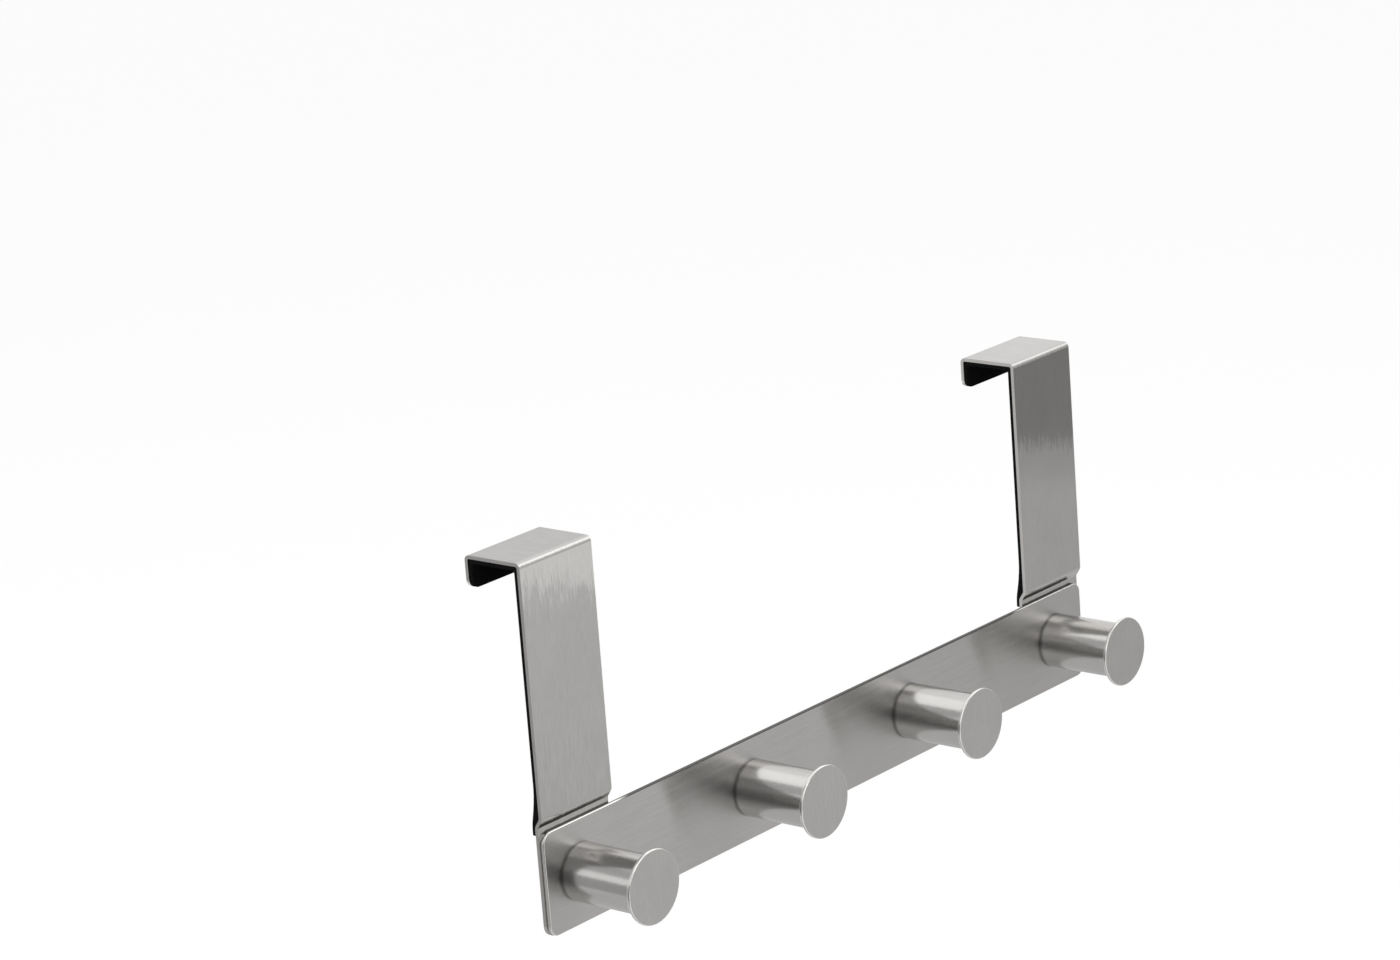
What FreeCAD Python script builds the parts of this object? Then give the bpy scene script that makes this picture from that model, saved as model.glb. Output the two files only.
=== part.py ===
import FreeCAD, Part
import math
import os

# An over door rail with four round pegs, in millimetres.
# X runs along the rail, -Y is the front, +Z is up. The origin is midway between the two
# straps, in the middle of the door's thickness, on the plane of the door's top edge.

DOOR_GAP = 18.2            # clear space between the foam on the leg and the foam on the lip
STRAP_SPACING = 270.0      # between the centres of the two straps
STRAP_WIDTH = 35.0
SHEET = 1.2                # strap sheet
STRAP_BEND = 0.7           # inner radius of the two bends over the door
LIP_DROP = 11.3            # from the strap's top face to the lip's lower edge
LIP_CORNER = 3.0
LEG_DROP = 92.0            # from the strap's top face to the rail's top edge

JOGGLE = 2.0               # how far the tab is set back from the leg
JOGGLE_ANGLE = 34.0        # slope of the joggle from the vertical, degrees
JOGGLE_BEND = 1.5          # inner radius of its two bends
JOGGLE_MIDDLE = 3.7        # middle of the joggle above the rail's top edge

LINER = 1.5                # foam thickness
LINER_INSET = 0.15         # foam edge inside the strap's edge
LINER_CORNER = 1.0         # inner radius of the foam where it turns
LINER_SWEEP = 6.5          # the foam leaves the leg's line this far above the joggle
LINER_END = 0.3            # thickness of its lower end

RAIL_HEIGHT = 36.0
RAIL_THICK = 1.5
RAIL_INSET = 0.4           # rail end inside the strap's outer edge
RAIL_CORNER = 4.0
RAIL_EDGE = 0.5            # rounding of the rail's outline, front and back

PEG_COUNT = 4
POST_DIAMETER = 20.0
POST_LENGTH = 30.0
HEAD_DIAMETER = 25.4
HEAD_THICK = 1.2
HEAD_EDGE = 0.45

SCREW_DIAMETER = 4.0
SCREW_LENGTH = 12.0        # over all, head included
SCREW_HEAD_DIAMETER = 7.5  # countersunk, ninety degrees
SCREW_TIP = 0.4            # chamfer at the tip
RECESS_SPAN = 4.2
RECESS_SLOT = 0.9
RECESS_DEPTH = 1.1
THREAD_ROOM = 0.05         # round the shank in the post
SHANK_ROOM = 0.2           # round the shank in the rail
HEAD_ROOM = 0.15           # round the head's cone in the outer rail holes
HOLE_DEPTH = 13.0
MOUTH_DIAMETER = 5.2       # chamfered mouth of the post's hole
TINY = 1e-4                # no length, when edges are picked

# places that follow from the above
LINER_FACE = DOOR_GAP / 2
SHEET_INSIDE = LINER_FACE + LINER
SHEET_OUTSIDE = SHEET_INSIDE + SHEET
TOP_INSIDE = LINER
TOP_OUTSIDE = LINER + SHEET
LIP_Z = TOP_OUTSIDE - LIP_DROP
RAIL_TOP = TOP_OUTSIDE - LEG_DROP
RAIL_BOTTOM = RAIL_TOP - RAIL_HEIGHT
RAIL_LENGTH = STRAP_SPACING + STRAP_WIDTH - 2 * RAIL_INSET
TAB_FRONT = -SHEET_OUTSIDE + JOGGLE
TAB_BACK = TAB_FRONT + SHEET
RAIL_FRONT = TAB_FRONT - RAIL_THICK
PEG_Z = (RAIL_TOP + RAIL_BOTTOM) / 2
PEG_PITCH = STRAP_SPACING / (PEG_COUNT - 1)
POST_FRONT = RAIL_FRONT - POST_LENGTH


def vec(x, y, z):
    return FreeCAD.Vector(x, y, z)


def unit(a, b):
    d = math.hypot(b[0] - a[0], b[1] - a[1])
    return ((b[0] - a[0]) / d, (b[1] - a[1]) / d)


def sheet_sides(path, radii, thick):
    """The two offset sides of a bent sheet from its middle line, as point and arc steps in YZ."""
    sides = []
    for sign in (1, -1):
        steps = []
        half = sign * thick / 2
        first = unit(path[0], path[1])
        steps.append(("line", (path[0][0] - first[1] * half, path[0][1] + first[0] * half)))
        for i in range(1, len(path) - 1):
            a, b = unit(path[i - 1], path[i]), unit(path[i], path[i + 1])
            cross = a[0] * b[1] - a[1] * b[0]
            turn = math.atan2(cross, a[0] * b[0] + a[1] * b[1])
            back = radii[i - 1] * math.tan(abs(turn) / 2)
            side = 1 if turn > 0 else -1
            p = (path[i][0] - a[0] * back, path[i][1] - a[1] * back)
            q = (path[i][0] + b[0] * back, path[i][1] + b[1] * back)
            centre = (p[0] - a[1] * side * radii[i - 1], p[1] + a[0] * side * radii[i - 1])
            r = radii[i - 1] - side * half
            m = unit(centre, path[i])
            steps.append(("line", (p[0] - a[1] * half, p[1] + a[0] * half)))
            steps.append(("arc", (centre[0] + m[0] * r, centre[1] + m[1] * r),
                          (q[0] - b[1] * half, q[1] + b[0] * half)))
        last = unit(path[-2], path[-1])
        steps.append(("line", (path[-1][0] - last[1] * half, path[-1][1] + last[0] * half)))
        sides.append(steps)
    return sides


def edges_of(steps):
    edges = []
    here = steps[0][1]
    for step in steps[1:]:
        if step[0] == "line":
            if math.hypot(step[1][0] - here[0], step[1][1] - here[1]) > TINY:
                edges.append(Part.makeLine(vec(0, *here), vec(0, *step[1])))
            here = step[1]
        else:
            edges.append(Part.Arc(vec(0, *here), vec(0, *step[1]), vec(0, *step[2])).toShape())
            here = step[2]
    return edges, here


def extruded(edges, x, width):
    face = Part.Face(Part.Wire(Part.__sortEdges__(edges)))
    solid = face.extrude(vec(width, 0, 0))
    solid.translate(vec(x - width / 2, 0, 0))
    return solid


def strap_path():
    mid = SHEET_INSIDE + SHEET / 2
    top = TOP_INSIDE + SHEET / 2
    rise = JOGGLE / math.tan(math.radians(JOGGLE_ANGLE)) / 2
    centre = RAIL_TOP + JOGGLE_MIDDLE
    tab = TAB_FRONT + SHEET / 2
    return [(mid, LIP_Z), (mid, top), (-mid, top), (-mid, centre + rise),
            (tab, centre - rise), (tab, RAIL_BOTTOM)]


def strap_radii():
    return [STRAP_BEND + SHEET / 2] * 2 + [JOGGLE_BEND + SHEET / 2] * 2


def round_corners(solid, z, radius):
    picked = [e for e in solid.Edges
              if abs(e.BoundBox.ZMin - z) < TINY and abs(e.BoundBox.ZMax - z) < TINY
              and e.BoundBox.XLength < TINY]
    return solid.makeFillet(radius, picked)


def bore(diameter, x, y_back, y_front):
    return Part.makeCylinder(diameter / 2, y_back - y_front, vec(x, y_back, PEG_Z), vec(0, -1, 0))


def cone(diameter, x, y_back, depth):
    """A ninety degree cone that narrows towards the front."""
    wide = diameter / 2
    return Part.makeCone(wide, wide - depth, depth, vec(x, y_back, PEG_Z), vec(0, -1, 0))


def door_strap(x):
    inner, outer = sheet_sides(strap_path(), strap_radii(), SHEET)
    a, a_end = edges_of(inner)
    b, b_end = edges_of(outer)
    ends = [Part.makeLine(vec(0, *inner[0][1]), vec(0, *outer[0][1])),
            Part.makeLine(vec(0, *a_end), vec(0, *b_end))]
    solid = extruded(a + b + ends, x, STRAP_WIDTH)
    solid = round_corners(solid, LIP_Z, LIP_CORNER)
    solid = round_corners(solid, RAIL_BOTTOM, RAIL_CORNER)
    return solid.cut(cone(SCREW_HEAD_DIAMETER, x, TAB_BACK, SHEET))


def liner_steps():
    """Foam outline in YZ: along the sheet's inside, round the lower end and back up to the lip."""
    steps, _ = sheet_sides(strap_path(), strap_radii(), SHEET)
    sheet_side = steps[:7]
    high = steps[6][2]
    low = steps[7][1]
    along = unit(high, low)
    tip = (low[0] - along[1] * LINER_END, low[1] + along[0] * LINER_END)
    start = (-LINER_FACE, RAIL_TOP + JOGGLE_MIDDLE + LINER_SWEEP)
    dy, dz = tip[0] - start[0], start[1] - tip[1]
    radius = (dy * dy + dz * dz) / (2 * dy)
    half = math.asin(dz / radius) / 2
    middle = (start[0] + radius * (1 - math.cos(half)), start[1] - radius * math.sin(half))
    c = LINER_CORNER
    s = c * (1 - math.sqrt(0.5))
    back = [("line", low), ("line", tip), ("arc", middle, start),
            ("line", (-LINER_FACE, -c)), ("arc", (-LINER_FACE + s, -s), (-LINER_FACE + c, 0.0)),
            ("line", (LINER_FACE - c, 0.0)), ("arc", (LINER_FACE - s, -s), (LINER_FACE, -c)),
            ("line", (LINER_FACE, LIP_Z)), ("line", steps[0][1])]
    return sheet_side + back


def foam_liner(x):
    edges, _ = edges_of(liner_steps())
    solid = extruded(edges, x, STRAP_WIDTH - 2 * LINER_INSET)
    return round_corners(solid, LIP_Z, LIP_CORNER - LINER_INSET)


def peg_x(i):
    return -STRAP_SPACING / 2 + PEG_PITCH * i


def is_outer(i):
    return i in (0, PEG_COUNT - 1)


def hook_rail():
    corner = vec(-RAIL_LENGTH / 2, RAIL_FRONT, RAIL_BOTTOM)
    plate = Part.makeBox(RAIL_LENGTH, RAIL_THICK, RAIL_HEIGHT, corner)
    corners = [e for e in plate.Edges if e.BoundBox.XLength < TINY and e.BoundBox.ZLength < TINY]
    plate = plate.makeFillet(RAIL_CORNER, corners)
    outline = [e for e in plate.Edges if e.BoundBox.YLength < TINY]
    plate = plate.makeFillet(RAIL_EDGE, outline)
    for i in range(PEG_COUNT):
        x = peg_x(i)
        if is_outer(i):
            wide = SCREW_HEAD_DIAMETER - 2 * SHEET + 2 * HEAD_ROOM
            plate = plate.cut(bore(wide, x, TAB_FRONT, RAIL_FRONT))
        else:
            plate = plate.cut(cone(SCREW_HEAD_DIAMETER, x, TAB_FRONT, RAIL_THICK))
            plate = plate.cut(bore(SCREW_DIAMETER + 2 * SHANK_ROOM, x, TAB_FRONT, RAIL_FRONT))
    return plate


def peg_post(i):
    x = peg_x(i)
    post = bore(POST_DIAMETER, x, RAIL_FRONT, POST_FRONT)
    hole = bore(SCREW_DIAMETER + 2 * THREAD_ROOM, x, RAIL_FRONT, RAIL_FRONT - HOLE_DEPTH)
    mouth = cone(MOUTH_DIAMETER, x, RAIL_FRONT, (MOUTH_DIAMETER - SCREW_DIAMETER) / 2)
    return post.cut(hole).cut(mouth)


def peg_head(i):
    disc = bore(HEAD_DIAMETER, peg_x(i), POST_FRONT, POST_FRONT - HEAD_THICK)
    rims = [e for e in disc.Edges if e.BoundBox.YLength < TINY and e.BoundBox.XLength > HEAD_DIAMETER / 2]
    return disc.makeFillet(HEAD_EDGE, rims)


def peg_screw(i):
    x = peg_x(i)
    seat = TAB_BACK if is_outer(i) else TAB_FRONT
    depth = (SCREW_HEAD_DIAMETER - SCREW_DIAMETER) / 2
    head = cone(SCREW_HEAD_DIAMETER, x, seat, depth)
    shank = bore(SCREW_DIAMETER, x, seat - depth, seat - SCREW_LENGTH)
    screw = head.fuse(shank).removeSplitter()
    for wide, tall in ((RECESS_SPAN, RECESS_SLOT), (RECESS_SLOT, RECESS_SPAN)):
        slot = Part.makeBox(wide, RECESS_DEPTH, tall,
                            vec(x - wide / 2, seat - RECESS_DEPTH, PEG_Z - tall / 2))
        screw = screw.cut(slot)
    tip = [e for e in screw.Edges if abs(e.BoundBox.YMax - (seat - SCREW_LENGTH)) < TINY]
    return screw.makeChamfer(SCREW_TIP, tip)


def build():
    shapes = {
        "hook_rail": hook_rail(),
        "left_door_strap": door_strap(-STRAP_SPACING / 2),
        "right_door_strap": door_strap(STRAP_SPACING / 2),
        "left_foam_liner": foam_liner(-STRAP_SPACING / 2),
        "right_foam_liner": foam_liner(STRAP_SPACING / 2),
    }
    for i in range(PEG_COUNT):
        shapes["peg_%d_post" % (i + 1)] = peg_post(i)
        shapes["peg_%d_head" % (i + 1)] = peg_head(i)
        shapes["peg_%d_screw" % (i + 1)] = peg_screw(i)
    return shapes


def write():
    os.makedirs("parts", exist_ok=True)
    for name, shape in build().items():
        solid = shape.Solids[0] if len(shape.Solids) == 1 else shape
        print(name, "solids", len(shape.Solids), "valid", shape.isValid(), "volume", round(shape.Volume, 2))
        solid.exportStep("parts/%s.step" % name)


write()
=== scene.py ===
"""Finishes, foam, weld beads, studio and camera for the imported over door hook.

Laid out as an add-on and run as a script. Metres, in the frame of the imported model:
X along the rail, -Y the front where the pegs point, Z up, origin on the door's top edge.
"""
import math

import bmesh
import bpy
from bpy.props import FloatProperty, FloatVectorProperty, IntProperty, PointerProperty
from mathutils import Matrix, Vector, noise


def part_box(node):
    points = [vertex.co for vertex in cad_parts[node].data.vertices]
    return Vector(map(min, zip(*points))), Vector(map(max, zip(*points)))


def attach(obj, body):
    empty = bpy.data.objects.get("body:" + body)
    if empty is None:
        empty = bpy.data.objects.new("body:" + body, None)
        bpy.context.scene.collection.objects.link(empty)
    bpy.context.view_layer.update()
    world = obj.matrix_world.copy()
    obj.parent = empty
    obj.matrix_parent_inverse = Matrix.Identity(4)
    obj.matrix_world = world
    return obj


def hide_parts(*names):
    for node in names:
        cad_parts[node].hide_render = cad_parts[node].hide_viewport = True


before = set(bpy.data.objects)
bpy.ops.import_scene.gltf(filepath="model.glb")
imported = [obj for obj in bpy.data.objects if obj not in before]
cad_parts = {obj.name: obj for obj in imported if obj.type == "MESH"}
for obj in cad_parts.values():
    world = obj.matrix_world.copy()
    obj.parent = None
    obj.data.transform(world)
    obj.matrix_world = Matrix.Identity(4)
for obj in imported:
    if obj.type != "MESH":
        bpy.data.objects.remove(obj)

bl_info = {
    "name": "Over Door Hook Looks",
    "version": (1, 0, 0),
    "blender": (4, 5, 0),
    "location": "View3D > Sidebar > Door Hook",
    "description": "Finishes, foam, weld beads, studio and camera for an over door rail with pegs",
    "category": "Object",
}

MM = 0.001
SIDES = ("left", "right")
PEGS = ("peg_1", "peg_2", "peg_3", "peg_4")
WHITE = (1.0, 1.0, 1.0, 1.0)
SAME = 1e-6                       # metres under which two places are one
STRAIGHT = 0.99                   # share of an edge's length along the axis that it is said to follow

# Steel: what fine grain, broad grain and patches each add to the tone, what the two grains add to
# the height, and where masks start and end, by how squarely a face looks to the front (the rounded
# rims with a painted highlight) or the side.
TONE_SHARES = (0.45, 0.25, 0.3)
HEIGHT_SHARES = (0.7, 0.3)
RIM_HIGHLIGHT_START = (0.05, 0.2)
RIM_HIGHLIGHT_END = (0.93, 0.99)
END_FACE = (0.1, 0.5)
BEAD_ROUGHNESS = 0.25
LUMP_SCALE = 2500                 # noise cells per metre along a weld bead

# Foam strip, seen from the side: places in Y and Z and widths in millimetres, each bend with its
# number of segments.
LIP_LOW = -8.6                    # lower edge of the foam on the lip
LIP_CORNER = (2.85, 6)            # its rounded corners there
FOAM_BEND = -83.934               # where the foam follows the joggle
FOAM_STEP = (-8.62, -86.88)       # the joggle's end, where the foam turns down again
FOAM_LOW = -90.0
FOAM_HEEL = (-7.2, -86.6)
FOAM_SWEEP = -77.0                # where its door side leaves the leg's line
OUTER_BEND = (0.7, 4)
INNER_BEND = (1.0, 4)
STEP_BEND = (0.458, 2)
HEEL_BEND = (2.0, 6)
SWEEP_BEND = (4.5, 8)
ROW_HEIGHT = 3                    # from one cut across the strip to the next
ROWS = 28
COLUMNS = 9
SHARP_EDGE = math.radians(50)
SOFT_SEGMENTS = 3
DIP_REACH = 0.05                  # how far past the door's faces a point may lie and still dip
DIP_SCALE = 160                   # noise cells per metre

# Foam material
PORE_RATIO = 2.6                  # width of an open pore over a cell
PORE_RANGE = (0.35, 0.6)
PORE_SHARES = (0.6, 0.4)          # what cells and pores add to the height
FOAM_TONES = (0.5, 1.5)
FOAM_ROUGHNESS = 0.95
FOAM_GLINT = 0.05

RIGHT_FRONT = Vector((0.764, -0.646, 0))
LEFT_FRONT = Vector((-0.764, -0.646, 0))
FRONT = Vector((0, -1, 0))
BACK_LEFT = Vector((-0.62, 0.785, 0))
BACK_RIGHT = Vector((0.74, 0.673, 0))
BEHIND_LEFT = Vector((-0.7317, 0.6816, 0))

# Cards that only gloss shows: name, side, distance, reach to the left and right of the side's
# middle, lowest and highest point with None for the floor, and the property with the level.
CARDS = (
    ("grey_card", RIGHT_FRONT, 0.56, (-0.65, 0.65), (None, 0.15), "card_grey"),
    ("light_strip", RIGHT_FRONT, 0.05, (-0.15, -0.055), (-0.0545, -0.03), "card_light"),
    ("dark_strip", RIGHT_FRONT, 0.25, (0.02, 0.16), (-0.0705, -0.015), "card_dark"),
    ("dusk_strip", RIGHT_FRONT, 0.25, (0.02, 0.16), (-0.085, -0.0705), "card_dusk"),
    ("high_card", FRONT, 0.6, (-0.9, 0.25), (0.05, 0.95), "card_high"),
    ("dark_flag", LEFT_FRONT, 0.42, (-0.45, 0.2), (None, 0.0), "flag_dark"),
    ("rim_card", FRONT, 0.38, (-0.24, 0.02), (None, -0.195), "card_rim"),
    ("edge_card", FRONT, 0.38, (-0.5, 0.02), (-0.195, -0.1), "card_edge"),
    ("brow_card", FRONT, 0.38, (-0.24, 0.02), (-0.1, 0.22), "card_rim"),
    ("end_card", BEHIND_LEFT, 0.5, (-0.35, 0.35), (None, -0.05), "card_end"),
    ("back_card", BACK_LEFT, 0.7, (-0.35, 0.35), (0.2, 0.6), "card_back"),
    ("side_card", BACK_RIGHT, 0.8, (-0.4, 0.4), (-0.25, 0.4), "card_side"),
)
LOW_CARD_PLACE = (0, -0.22)
LOW_CARD_SIZE = (1.5, 0.94)
LOW_CARD_LIFT = 0.001
LAMPS = (("overhead", (-0.1, 0.72, 0.95), (0.9, 0.9)), ("front_box", (0.62, -0.42, 0.62), (0.8, 0.4)))
FLOOR_SIDE = 8.0
SENSOR_WIDTH = 36.0               # in millimetres


class Wire:
    """An output socket that can stand in Python sums, each of which adds its Math node."""

    def __init__(self, tree, socket):
        self.tree = tree
        self.socket = socket

    def __add__(self, other):
        return self.tree.math("ADD", self, other)

    def __sub__(self, other):
        return self.tree.math("SUBTRACT", self, other)

    def __rsub__(self, other):
        return self.tree.math("SUBTRACT", other, self)

    def __mul__(self, other):
        return self.tree.math("MULTIPLY", self, other)

    __radd__ = __add__
    __rmul__ = __mul__


class Tree:
    """A node tree that is written as expressions."""

    def __init__(self, owner):
        owner.use_nodes = True
        self.tree = owner.node_tree
        self.tree.nodes.clear()

    def node(self, kind, settings=None, values=None, out=0):
        """Adds a node: its settings first, then what its sockets hold or are linked to."""
        made = self.tree.nodes.new(kind)
        for key, value in (settings or {}).items():
            setattr(made, key, value)
        for key, value in (values or {}).items():
            if isinstance(value, Wire):
                self.tree.links.new(value.socket, made.inputs[key])
            else:
                made.inputs[key].default_value = value
        return Wire(self, made.outputs[out]) if made.outputs else made

    def math(self, operation, *terms):
        return self.node("ShaderNodeMath", {"operation": operation}, dict(enumerate(terms)))

    def eased(self, value, low, high, start=0.0, end=1.0):
        """Value taken from low..high to start..end, eased, and held at both ends."""
        return self.node("ShaderNodeMapRange", {"interpolation_type": "SMOOTHSTEP"},
                         {"Value": value, "From Min": low, "From Max": high,
                          "To Min": start, "To Max": end})

    def mixed(self, factor, first, second):
        """A colour from first to second."""
        return self.node("ShaderNodeMix", {"data_type": "RGBA"}, {0: factor, 6: first, 7: second}, 2)

    def place(self):
        return self.node("ShaderNodeTexCoord", out="Object")

    def axis(self, index):
        return self.node("ShaderNodeSeparateXYZ", None, {0: self.place()}, index)

    def facing(self, index):
        """How squarely the face looks along an axis, to either side, from 0 to 1."""
        normal = self.node("ShaderNodeNewGeometry", out="Normal")
        return self.math("ABSOLUTE", self.node("ShaderNodeSeparateXYZ", None, {0: normal}, index))

    def grain(self, cell, detail=2.0):
        """Noise whose cells have the given sizes in millimetres along X, Y and Z."""
        per_metre = tuple(1 / (side * MM) for side in cell)
        scaled = self.node("ShaderNodeVectorMath", {"operation": "MULTIPLY"},
                           {0: self.place(), 1: per_metre})
        return self.node("ShaderNodeTexNoise", None, {"Vector": scaled, "Scale": 1.0, "Detail": detail})

    def bump(self, height, depth):
        return self.node("ShaderNodeBump", None, {"Height": height, "Distance": depth})

    def leaned(self, normal, amount, direction):
        """A normal that leans along a direction by an amount, which a noise may carry."""
        lean = self.node("ShaderNodeVectorMath", {"operation": "SCALE"}, {0: direction, "Scale": amount})
        both = self.node("ShaderNodeVectorMath", {"operation": "ADD"}, {0: normal, 1: lean})
        return self.node("ShaderNodeVectorMath", {"operation": "NORMALIZE"}, {0: both})

    def glow(self, level):
        """White light of a level."""
        return self.node("ShaderNodeEmission", None, {"Color": WHITE, "Strength": level})

    def surface(self, shader, kind="ShaderNodeOutputMaterial"):
        self.node(kind, None, {"Surface": shader})


def shade(colour, level=1.0):
    return tuple(part * level for part in colour) + (1.0,)


def new_tree(name):
    made = bpy.data.materials.new(name)
    return made, Tree(made)


def brushed_steel(name, look, cell, roughness, along, stretch=0.0, turn=0.0, lean=1.0, flat=True,
                  edge=None, foot_shade_y=None, painted_rim=False):
    """Bare steel with grain lines. cell is the size of a grain line in millimetres along X, Y
    and Z, and along is the direction that the lines run in, by which each leans a little, lean
    times the look's own amount. stretch is the strength of the stretched gloss and turn its
    direction in whole turns. A flat piece has no grain on its ends. edge is where a darker band
    along the cut edge starts: above edge.z, and from edge.x outwards only behind edge.y, so that
    the front corner is bright again there. foot_shade_y is the Y of the rail's front, where
    painted shade darkens a post's foot. painted_rim is for a piece whose rounded front and back
    edges get a painted highlight, a brighter colour."""
    made, tree = new_tree(name)
    fine = tree.grain(cell, 1.0)
    broad = tree.grain(tuple(side * look.band_ratio for side in cell), 1.0)
    patch = tree.grain((look.patch,) * 3)
    tone = fine * TONE_SHARES[0] + broad * TONE_SHARES[1] + patch * TONE_SHARES[2]
    colour = tree.mixed(tone, shade(look.colour, 1 - look.tone_spread),
                        shade(look.colour, 1 + look.tone_spread))
    # Painted highlight: the rounded edges between the front or back and the sides get a brighter colour.
    if painted_rim:
        frontal = tree.facing(1)
        painted_highlight = tree.eased(frontal, *RIM_HIGHLIGHT_START) * tree.eased(frontal, *RIM_HIGHLIGHT_END, 1.0, 0.0)
        colour = tree.mixed(painted_highlight, colour, shade(look.colour, look.rim_highlight_level))
    # A darker band along the rail's upper cut edge; near the ends it stays behind the front corner.
    if edge:
        soft = look.cut_soft * MM
        aside = tree.math("ABSOLUTE", tree.axis(0))
        between = tree.eased(aside, edge.x - look.cut_fade * MM, edge.x, 1.0, 0.0)
        behind = tree.eased(tree.axis(1), edge.y, edge.y + soft)
        cut = tree.eased(tree.axis(2), edge.z, edge.z + soft) * tree.math("MAXIMUM", between, behind)
        colour = tree.mixed(cut, colour, shade(look.colour, look.cut_level))
    # Painted shade: a post's foot, over the last millimetres before the rail, gets a darker colour.
    if foot_shade_y:
        painted_foot_shade = tree.eased(tree.axis(1), foot_shade_y - look.foot_shade_width * MM, foot_shade_y)
        colour = tree.mixed(painted_foot_shade, colour, shade(look.colour, look.foot_shade_level))
    gloss = (broad - 0.5) * look.roughness_spread + (patch - 0.5) * look.roughness_spread + roughness
    height = fine * HEIGHT_SHARES[0] + broad * HEIGHT_SHARES[1]
    drift = (fine + broad - 1.0) * (look.grain_lean * lean)
    if flat:
        calm = tree.eased(tree.facing(0), *END_FACE, 1.0, 0.0)
        height = height * calm
        drift = drift * calm
    made_shader = tree.node("ShaderNodeBsdfPrincipled", None, {
        "Base Color": colour, "Metallic": 1.0, "Roughness": gloss,
        "Anisotropic": stretch, "Anisotropic Rotation": turn,
        "Normal": tree.leaned(tree.bump(height, look.grain_depth * MM), drift, along)})
    tree.surface(made_shader)
    return made


def finish(names, made):
    for name in names:
        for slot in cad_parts[name].material_slots:
            slot.material = made


def new_object(name, shape, made):
    """An object at the origin whose place is in its mesh, with one material."""
    mesh = bpy.data.meshes.new(name)
    shape.to_mesh(mesh)
    shape.free()
    mesh.materials.append(made)
    made_object = bpy.data.objects.new(name, mesh)
    bpy.context.scene.collection.objects.link(made_object)
    return made_object


def new_piece(name, mesh_maker, made):
    """A part of the hook, riding on the one body."""
    shape = bmesh.new()
    mesh_maker(shape)
    bmesh.ops.remove_doubles(shape, verts=shape.verts, dist=SAME)
    bmesh.ops.recalc_face_normals(shape, faces=shape.faces)
    piece = new_object(name, shape, made)
    for face in piece.data.polygons:
        face.use_smooth = True
    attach(piece, "root")
    return piece


def placed(place, right, up, out):
    """The matrix that lays an object's own X, Y and Z along right, up and out, at a place."""
    return Matrix.Translation(place) @ Matrix((right, up, out)).transposed().to_4x4()


def rounded(shape, picked, width, segments):
    """Bevels the edges for which picked(edge) holds."""
    edges = [edge for edge in shape.edges if picked(edge)]
    return bmesh.ops.bevel(shape, geom=edges, offset=width, offset_type="OFFSET", affect="EDGES",
                           segments=segments, profile=0.5, material=-1, clamp_overlap=True)


def divided(shape, place, direction):
    """Adds a cut through the whole shape where a plane crosses it."""
    bmesh.ops.bisect_plane(shape, geom=shape.verts[:] + shape.edges[:] + shape.faces[:],
                           plane_co=place, plane_no=direction)


def runs_along(edge, axis):
    step = edge.verts[1].co - edge.verts[0].co
    return abs(step[axis]) > STRAIGHT * step.length


def at(edge, y, z):
    """Whether an edge along X stands at Y, Z, in millimetres."""
    here = edge.verts[0].co
    return runs_along(edge, 0) and abs(here.y - y * MM) < SAME and abs(here.z - z * MM) < SAME


class SteelLook(bpy.types.PropertyGroup):
    """Bare steel and its grain."""

    colour: FloatVectorProperty(
        name="Steel", description="Colour of the bare steel", subtype="COLOR",
        default=(0.600, 0.588, 0.572), min=0.0, max=1.0)
    strap_roughness: FloatProperty(
        name="Straps", description="Roughness of the straps", default=0.165, min=0.0, max=1.0)
    rail_roughness: FloatProperty(
        name="Rail", description="Roughness of the rail", default=0.22, min=0.0, max=1.0)
    post_roughness: FloatProperty(
        name="Posts", description="Roughness of the round posts", default=0.21, min=0.0, max=1.0)
    head_roughness: FloatProperty(
        name="Heads", description="Roughness of the round heads", default=0.27, min=0.0, max=1.0)
    roughness_spread: FloatProperty(
        name="Spread", description="How far roughness varies over a surface", default=0.06, min=0.0)
    tone_spread: FloatProperty(
        name="Tone spread", description="How far the steel's brightness varies to both sides", default=0.14,
        min=0.0, max=1.0)
    grain_depth: FloatProperty(
        name="Grain depth", description="Depth of the grain lines in millimetres", default=0.003, min=0.0)
    grain_lean: FloatProperty(
        name="Grain lean", description="How far grain lines lean along their length", default=0.1, min=0.0)
    band_ratio: FloatProperty(
        name="Band ratio", description="Width of the broad grain over the fine grain", default=3.0, min=1.0)
    patch: FloatProperty(
        name="Patch", description="Width of the cloudy patches in millimetres", default=16.0, min=1.0)
    cut_level: FloatProperty(
        name="Cut edge", description="Brightness of the rail's cut upper edge over the rest",
        default=0.2, min=0.0)
    cut_width: FloatProperty(
        name="Cut edge height", description="Height of the cut edge's dark band in millimetres", default=0.6,
        min=0.0)
    cut_depth: FloatProperty(
        name="Cut edge depth",
        description="How far behind the front the band starts near the rail's ends, in millimetres",
        default=0.5, min=0.0)
    cut_start: FloatProperty(
        name="Cut edge start",
        description="How far from the rail's ends the band starts to reach the front, in millimetres",
        default=36.0, min=0.0)
    cut_fade: FloatProperty(
        name="Cut edge fade", description="Length in millimetres over which the band comes to the front",
        default=8.0, min=0.01)
    cut_soft: FloatProperty(
        name="Cut edge blend", description="Height in millimetres over which the cut edge darkens",
        default=0.15, min=0.01)
    # Painted highlight on the rounded front and back edges.
    rim_highlight_level: FloatProperty(
        name="Rims", description="Brightness of the polished rounded edges over the rest",
        default=1.6, min=0.0)
    # Painted shade at the posts' feet.
    foot_shade_level: FloatProperty(
        name="Seam", description="Brightness of the posts' feet at the rail over the rest",
        default=0.45, min=0.0)
    foot_shade_width: FloatProperty(
        name="Seam width", description="Length in millimetres over which a post's foot darkens", default=1.6,
        min=0.01)


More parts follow.
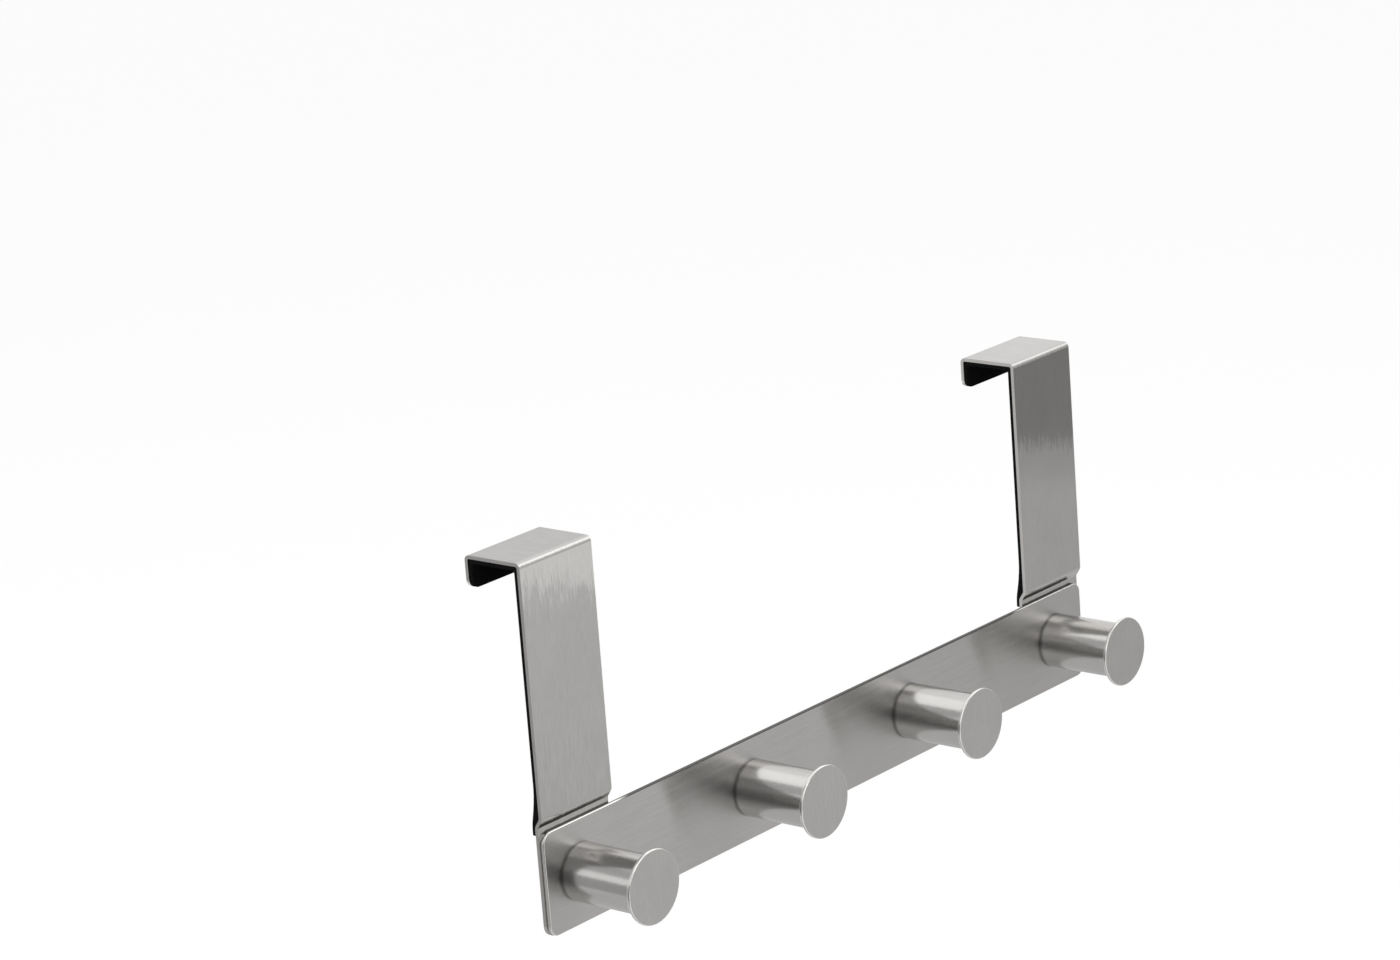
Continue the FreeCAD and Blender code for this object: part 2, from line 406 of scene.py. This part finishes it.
class FoamLook(bpy.types.PropertyGroup):
    """The black foam strips inside the straps."""

    colour: FloatVectorProperty(
        name="Foam", description="Colour of the foam", subtype="COLOR",
        default=(0.006, 0.006, 0.0065), min=0.0, max=1.0)
    cell: FloatProperty(
        name="Cell", description="Width of a foam cell in millimetres", default=0.35, min=0.05)
    cell_depth: FloatProperty(
        name="Cell depth", description="Depth of the foam's cells in millimetres", default=0.06, min=0.0)
    soft_edge: FloatProperty(
        name="Soft edge", description="Rounding of the foam's cut edges", default=0.00022,
        min=0.0, unit="LENGTH", precision=5)
    sink: FloatProperty(
        name="Sink", description="How far the foam's face dips in places", default=0.00006,
        min=0.0, unit="LENGTH", precision=5)


class BeadLook(bpy.types.PropertyGroup):
    """The weld beads between posts and heads."""

    leg: FloatProperty(
        name="Leg", description="Size of the bead along the post and the head", default=0.0004,
        min=0.0, unit="LENGTH", precision=5)
    lump: FloatProperty(
        name="Lump", description="How far the bead's lumps stand out", default=0.00015,
        min=0.0, unit="LENGTH", precision=5)
    steps: IntProperty(
        name="Steps", description="Sides of the bead around the post", default=120, min=12)


class StudioLook(bpy.types.PropertyGroup):
    """Floor, light and camera."""

    floor_drop: FloatProperty(
        name="Floor drop", description="Floor below the rail's lower edge", default=0.175,
        min=0.0, unit="LENGTH")
    floor_white: FloatProperty(
        name="Floor", description="Whiteness of the floor", default=0.8, min=0.0, max=1.0)
    floor_lift: FloatProperty(
        name="Floor lift", description="Added white that the camera and the gloss see", default=0.33, min=0.0)
    ambient: FloatProperty(
        name="Ambient", description="Level of the soft light from all round", default=0.8, min=0.0)
    overhead: FloatProperty(
        name="Overhead", description="Brightness of the soft box over the back", default=0.25, min=0.0)
    front_box: FloatProperty(
        name="Front box", description="Brightness of the soft box over the front", default=0.6, min=0.0)
    card_grey: FloatVectorProperty(
        name="Grey card",
        description="Levels of the front card before and after a change, Y where it starts and ends",
        size=4, default=(0.64, 0.50, -0.5, -0.25))
    card_side: FloatVectorProperty(
        name="Side card",
        description="Levels of the back right card before and after a change, Y where it starts and ends",
        size=4, default=(0.92, 0.76, 0.42, 0.61))
    card_back: FloatProperty(
        name="Back card", description="Level of the high card at the back left", default=0.5, min=0.0)
    card_light: FloatProperty(
        name="Light strip", description="Level of the strip that the left strap's upper leg mirrors",
        default=0.9, min=0.0)
    card_dark: FloatProperty(
        name="Dark strip", description="Level of the strip that the right strap's upper leg mirrors",
        default=0.25, min=0.0)
    card_dusk: FloatProperty(
        name="Dusk strip", description="Level of the strip between the dark strip and the grey card",
        default=0.44, min=0.0)
    card_low: FloatProperty(
        name="Low card", description="Level of the card on the floor below the front", default=0.58, min=0.0)
    card_end: FloatVectorProperty(
        name="End card",
        description="Levels of the low back left card before and after a change, Y where it starts and ends",
        size=4, default=(0.4, 0.7, 0.27, 0.33))
    card_edge: FloatProperty(
        name="Edge card", description="Level of the card that the straps' left edges mirror",
        default=0.6, min=0.0)
    card_high: FloatProperty(
        name="High card", description="Level of the high card at the front left", default=0.27, min=0.0)
    card_rim: FloatProperty(
        name="Rim cards", description="Level of the low and the high card that light the rounded rims",
        default=1.3, min=0.0)
    flag_dark: FloatProperty(
        name="Dark flag", description="Level of the low flag to the left of the front", default=0.11, min=0.0)
    eye: FloatVectorProperty(
        name="Eye", description="Where the camera stands", subtype="TRANSLATION", unit="LENGTH",
        default=(-1.155833, -0.946568, 0.408963), precision=6)
    azimuth: FloatProperty(
        name="Azimuth", description="Side the camera stands on, from the front", subtype="ANGLE",
        default=math.radians(-49.507160))
    elevation: FloatProperty(
        name="Elevation", description="Height of the camera above the horizon", subtype="ANGLE",
        default=math.radians(15.625786))
    roll: FloatProperty(
        name="Roll", description="How far the camera leans to its right", subtype="ANGLE",
        default=math.radians(4.378047))
    lens: FloatProperty(
        name="Lens", description="Focal length in millimetres for a 36 mm wide sensor", default=115.714,
        min=1.0)


class HOOK_OT_straps(bpy.types.Operator):
    """Gives the two straps steel brushed along their length"""

    bl_idname = "hook.straps"
    bl_label = "Straps"

    def execute(self, context):
        look = context.scene.hook_steel
        made = brushed_steel("strap_brushed", look, cell=(0.4, 4, 4), roughness=look.strap_roughness,
                             along=(0, 1, 1), stretch=0.6, lean=0.8)
        finish([side + "_door_strap" for side in SIDES], made)
        return {"FINISHED"}


class HOOK_OT_rail(bpy.types.Operator):
    """Gives the rail steel brushed from end to end"""

    bl_idname = "hook.rail"
    bl_label = "Rail"

    def execute(self, context):
        look = context.scene.hook_steel
        low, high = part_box("hook_rail")
        edge = Vector((high.x - look.cut_start * MM, low.y + look.cut_depth * MM,
                       high.z - look.cut_width * MM))
        # The rail's rounded rims get a painted highlight.
        made = brushed_steel("rail_brushed", look, cell=(10, 0.3, 0.3), roughness=look.rail_roughness,
                             along=(0.1, 0, 1), stretch=1.0, turn=0.25, lean=0.08, edge=edge, painted_rim=True)
        finish(["hook_rail"], made)
        return {"FINISHED"}


class HOOK_OT_pegs(bpy.types.Operator):
    """Gives the posts turned steel and the heads steel with a fine straight grain"""

    bl_idname = "hook.pegs"
    bl_label = "Pegs"

    def execute(self, context):
        look = context.scene.hook_steel
        # The posts get painted shade at their feet.
        posts = brushed_steel("post_turned", look, cell=(0.35, 0.35, 0.35), roughness=look.post_roughness,
                              along=(0.6, 0, 0.6), lean=0.5, flat=False, foot_shade_y=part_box("hook_rail")[0].y)
        finish([peg + "_post" for peg in PEGS], posts)
        # The heads' rounded rims get a painted highlight.
        heads = brushed_steel("head_brushed", look, cell=(0.4, 0.5, 5), roughness=look.head_roughness,
                              along=(0, 0, 1), lean=0.3, painted_rim=True)
        finish([peg + "_head" for peg in PEGS], heads)
        return {"FINISHED"}


class HOOK_OT_screws(bpy.types.Operator):
    """Gives the four screws bright steel"""

    bl_idname = "hook.screws"
    bl_label = "Screws"

    def execute(self, context):
        look = context.scene.hook_steel
        made = brushed_steel("screw_bright", look, cell=(0.4, 0.4, 0.4), roughness=look.post_roughness,
                             along=(0, 0, 1), flat=False)
        finish([peg + "_screw" for peg in PEGS], made)
        return {"FINISHED"}


class HOOK_OT_beads(bpy.types.Operator):
    """Runs a small weld bead round each post where it meets its head"""

    bl_idname = "hook.beads"
    bl_label = "Weld beads"

    def execute(self, context):
        look = context.scene.hook_bead
        made = brushed_steel("bead_steel", context.scene.hook_steel, cell=(0.5, 0.5, 0.5),
                             roughness=BEAD_ROUGHNESS, along=(0, 0, 1), flat=False)
        for peg in PEGS:
            low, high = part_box(peg + "_post")
            middle = (low + high) / 2
            radius = (high.x - low.x) / 2

            def bead(shape):
                profile = [(radius - look.leg / 4, low.y + look.leg), (radius + look.leg, low.y),
                           (radius - look.leg / 4, low.y)]
                ring = [shape.verts.new((middle.x + r, y, middle.z)) for r, y in profile]
                edges = [shape.edges.new((ring[i], ring[i - 1])) for i in range(3)]
                bmesh.ops.spin(shape, geom=ring + edges, cent=middle, axis=(0, 1, 0),
                               angle=math.tau, steps=look.steps, use_merge=True)
                for vert in shape.verts:
                    out = Vector((vert.co.x - middle.x, 0, vert.co.z - middle.z))
                    if out.length > radius:
                        swell = max(0.0, noise.noise(vert.co * LUMP_SCALE)) * look.lump
                        vert.co += out.normalized() * swell
            new_piece(peg + "_bead", bead, made)
        return {"FINISHED"}


class HOOK_OT_foam(bpy.types.Operator):
    """Lays a soft black foam strip inside each strap"""

    bl_idname = "hook.foam"
    bl_label = "Foam liners"

    def execute(self, context):
        look = context.scene.hook_foam
        made = self.foam_material(look)
        for side in SIDES:
            low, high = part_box(side + "_foam_liner")
            piece = new_piece(side + "_foam_strip", lambda shape: self.strip(shape, low, high, look),
                              made)
            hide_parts(side + "_foam_liner")
        return {"FINISHED"}

    def foam_material(self, look):
        made, tree = new_tree("black_foam")
        cells = tree.grain((look.cell,) * 3, 3.0)
        pores = tree.grain((look.cell * PORE_RATIO,) * 3, 1.0)
        height = cells * PORE_SHARES[0] + tree.eased(pores, *PORE_RANGE) * PORE_SHARES[1]
        made_shader = tree.node("ShaderNodeBsdfPrincipled", None, {
            "Base Color": tree.mixed(height, *(shade(look.colour, tone) for tone in FOAM_TONES)),
            "Roughness": FOAM_ROUGHNESS, "Specular IOR Level": FOAM_GLINT,
            "Normal": tree.bump(height, look.cell_depth * MM)})
        tree.surface(made_shader)
        return made

    def strip(self, shape, low, high, look):
        """The strip's side outline in YZ, drawn out along X, then its bends and soft edges."""
        top = high.z / MM
        steel = high.y / MM
        door = steel - top
        outline = [(steel, LIP_LOW), (steel, top), (-steel, top), (-steel, FOAM_BEND), FOAM_STEP,
                   (FOAM_STEP[0], FOAM_LOW), (FOAM_HEEL[0], FOAM_LOW), FOAM_HEEL, (-door, FOAM_SWEEP),
                   (-door, 0.0), (door, 0.0), (door, LIP_LOW)]
        verts = [shape.verts.new((low.x, y * MM, z * MM)) for y, z in outline]
        drawn = bmesh.ops.extrude_face_region(shape, geom=[shape.faces.new(verts)])
        moved = [v for v in drawn["geom"] if isinstance(v, bmesh.types.BMVert)]
        bmesh.ops.translate(shape, verts=moved, vec=(high.x - low.x, 0, 0))
        bends = ((steel, top, *OUTER_BEND), (-steel, top, *OUTER_BEND), (door, 0.0, *INNER_BEND),
                 (-door, 0.0, *INNER_BEND), (-steel, FOAM_BEND, *STEP_BEND), (*FOAM_HEEL, *HEEL_BEND),
                 (-door, FOAM_SWEEP, *SWEEP_BEND))
        for y, z, width, segments in bends:
            rounded(shape, lambda edge: at(edge, y, z), width * MM, segments)
        rounded(shape, lambda edge: runs_along(edge, 1) and edge.verts[0].co.y > 0
                and abs(edge.verts[0].co.z - LIP_LOW * MM) < SAME, LIP_CORNER[0] * MM, LIP_CORNER[1])
        for row in range(1, ROWS):
            divided(shape, (0, 0, -row * ROW_HEIGHT * MM), (0, 0, 1))
        for column in range(1, COLUMNS):
            divided(shape, (low.x + (high.x - low.x) * column / COLUMNS, 0, 0), (1, 0, 0))
        rounded(shape, lambda edge: len(edge.link_faces) == 2
                and edge.calc_face_angle() > SHARP_EDGE, look.soft_edge, SOFT_SEGMENTS)
        for vert in shape.verts:
            if (abs(vert.co.y) < (door + DIP_REACH) * MM
                    and FOAM_SWEEP * MM < vert.co.z < DIP_REACH * MM):
                dip = (noise.noise(vert.co * DIP_SCALE) + 1) / 2 * look.sink
                vert.co.y += math.copysign(dip, vert.co.y)


class HOOK_OT_studio(bpy.types.Operator):
    """Builds the floor, the light and the camera"""

    bl_idname = "hook.studio"
    bl_label = "Studio"

    def execute(self, context):
        look = context.scene.hook_studio
        floor_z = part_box("hook_rail")[0].z - look.floor_drop
        self.world(context.scene, look)
        self.floor(look, floor_z)
        for name, side, distance, across, (low, high), key in CARDS:
            upright = (floor_z if low is None else low, high)
            self.card(name, side, distance, across, upright, getattr(look, key))
        self.low_card(floor_z + LOW_CARD_LIFT, look.card_low)
        for name, place, size in LAMPS:
            self.soft_box(name, place, size, getattr(look, name))
        self.camera(context.scene, look)
        context.scene.view_settings.view_transform = "Standard"
        return {"FINISHED"}

    def seen(self, tree):
        """One for what the camera, the gloss and clear things see."""
        camera = tree.node("ShaderNodeLightPath", out="Is Camera Ray")
        rays = camera.socket.node.outputs
        gloss = Wire(tree, rays["Is Glossy Ray"])
        through = Wire(tree, rays["Is Transmission Ray"])
        return tree.math("MAXIMUM", tree.math("MAXIMUM", camera, gloss), through)

    def world(self, scene, look):
        scene.world = bpy.data.worlds.new("pale_room")
        tree = Tree(scene.world)
        level = tree.eased(self.seen(tree), 0.0, 1.0, look.ambient, 1.0)
        tree.surface(tree.node("ShaderNodeBackground", None, {"Color": WHITE, "Strength": level}),
                     "ShaderNodeOutputWorld")

    def floor(self, look, floor_z):
        made, tree = new_tree("pale_floor")
        plain = tree.node("ShaderNodeBsdfDiffuse", None, {"Color": shade((look.floor_white,) * 3)})
        lift = tree.glow(self.seen(tree) * look.floor_lift)
        tree.surface(tree.node("ShaderNodeAddShader", None, {0: plain, 1: lift}))
        self.stage_plane("floor", Matrix.Translation((0, 0, floor_z)), FLOOR_SIDE, FLOOR_SIDE, made)

    def stage_plane(self, name, matrix, width, height, made):
        """A flat piece of the stage, drawn around its middle and laid by the matrix."""
        shape = bmesh.new()
        bmesh.ops.create_grid(shape, x_segments=1, y_segments=1, size=0.5)
        bmesh.ops.scale(shape, verts=shape.verts, vec=(width, height, 1))
        bmesh.ops.transform(shape, verts=shape.verts, matrix=matrix)
        made_object = new_object(name, shape, made)
        return made_object

    def card(self, name, side, distance, across, upright, level):
        """An upright card on that side, facing the object. across is the range that it covers to the
        left and right of its side's middle, and upright the range in Z. level is one number, or
        a change with Y: the level before and after, and the Y of both."""
        made, tree = new_tree(name + "_paint")
        if not isinstance(level, float):
            first, last, start, end = level
            level = tree.eased(tree.axis(1), start, end, first, last)
        tree.surface(tree.glow(level))
        sideways = Vector((-side.y, side.x, 0))
        middle = side * distance + sideways * (across[0] + across[1]) / 2
        middle.z = (upright[0] + upright[1]) / 2
        self.hidden_card(name, placed(middle, sideways, Vector((0, 0, 1)), -side), across[1] - across[0],
                         upright[1] - upright[0], made)

    def low_card(self, height, level):
        """A card that lies just over the floor below the front."""
        made, tree = new_tree("low_card_paint")
        tree.surface(tree.glow(level))
        self.hidden_card("low_card", Matrix.Translation((*LOW_CARD_PLACE, height)), *LOW_CARD_SIZE, made)

    def hidden_card(self, name, matrix, width, height, made):
        """A card that only gloss shows."""
        made_object = self.stage_plane(name, matrix, width, height, made)
        made_object.visible_camera = False
        made_object.visible_diffuse = False
        made_object.visible_shadow = False

    def soft_box(self, name, place, size, level):
        """A lamp of that width and height at place that faces the object; level is its brightness."""
        lamp = bpy.data.lights.new(name, "AREA")
        lamp.shape = "RECTANGLE"
        lamp.size, lamp.size_y = size
        lamp.energy = level * math.pi * size[0] * size[1]
        made_object = bpy.data.objects.new(name, lamp)
        made_object.location = place
        made_object.rotation_euler = Vector(place).to_track_quat("Z", "Y").to_euler()
        made_object.visible_camera = False
        bpy.context.scene.collection.objects.link(made_object)

    def camera(self, scene, look):
        """The camera, placed by the two angles of its side and height and by how far it leans."""
        lens = bpy.data.cameras.new("camera")
        lens.lens = look.lens
        lens.sensor_width = SENSOR_WIDTH
        back = Vector((math.sin(look.azimuth) * math.cos(look.elevation),
                       -math.cos(look.azimuth) * math.cos(look.elevation), math.sin(look.elevation)))
        level = Vector((math.cos(look.azimuth), math.sin(look.azimuth), 0))
        above = back.cross(level)
        right = level * math.cos(look.roll) - above * math.sin(look.roll)
        up = above * math.cos(look.roll) + level * math.sin(look.roll)
        made_object = bpy.data.objects.new("camera", lens)
        made_object.matrix_world = placed(look.eye, right, up, back)
        scene.collection.objects.link(made_object)
        scene.camera = made_object


class HOOK_PT_sidebar(bpy.types.Panel):
    """Lists the looks and the steps that build them"""

    bl_label = "Over Door Hook"
    bl_space_type = "VIEW_3D"
    bl_region_type = "UI"
    bl_category = "Door Hook"

    def draw(self, context):
        for title, key, steps in STEPS:
            box = self.layout.box()
            box.label(text=title)
            look = getattr(context.scene, key)
            for name in look.__annotations__:
                box.prop(look, name)
            for step in steps:
                box.operator("hook." + step)


STEPS = (
    ("Steel", "hook_steel", ("straps", "rail", "pegs", "screws")),
    ("Weld beads", "hook_bead", ("beads",)),
    ("Foam", "hook_foam", ("foam",)),
    ("Studio", "hook_studio", ("studio",)),
)
LOOKS = {"hook_steel": SteelLook, "hook_bead": BeadLook, "hook_foam": FoamLook, "hook_studio": StudioLook}
CLASSES = (*LOOKS.values(), HOOK_OT_straps, HOOK_OT_rail, HOOK_OT_pegs, HOOK_OT_screws, HOOK_OT_beads,
           HOOK_OT_foam, HOOK_OT_studio, HOOK_PT_sidebar)


def register():
    for each in CLASSES:
        bpy.utils.register_class(each)
    for key, each in LOOKS.items():
        setattr(bpy.types.Scene, key, PointerProperty(type=each))


def unregister():
    for key in LOOKS:
        delattr(bpy.types.Scene, key)
    for each in reversed(CLASSES):
        bpy.utils.unregister_class(each)


def main():
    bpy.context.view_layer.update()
    register()
    for _, _, steps in STEPS:
        for step in steps:
            getattr(bpy.ops.hook, step)()
    bpy.context.view_layer.update()


if __name__ == "__main__":
    main()
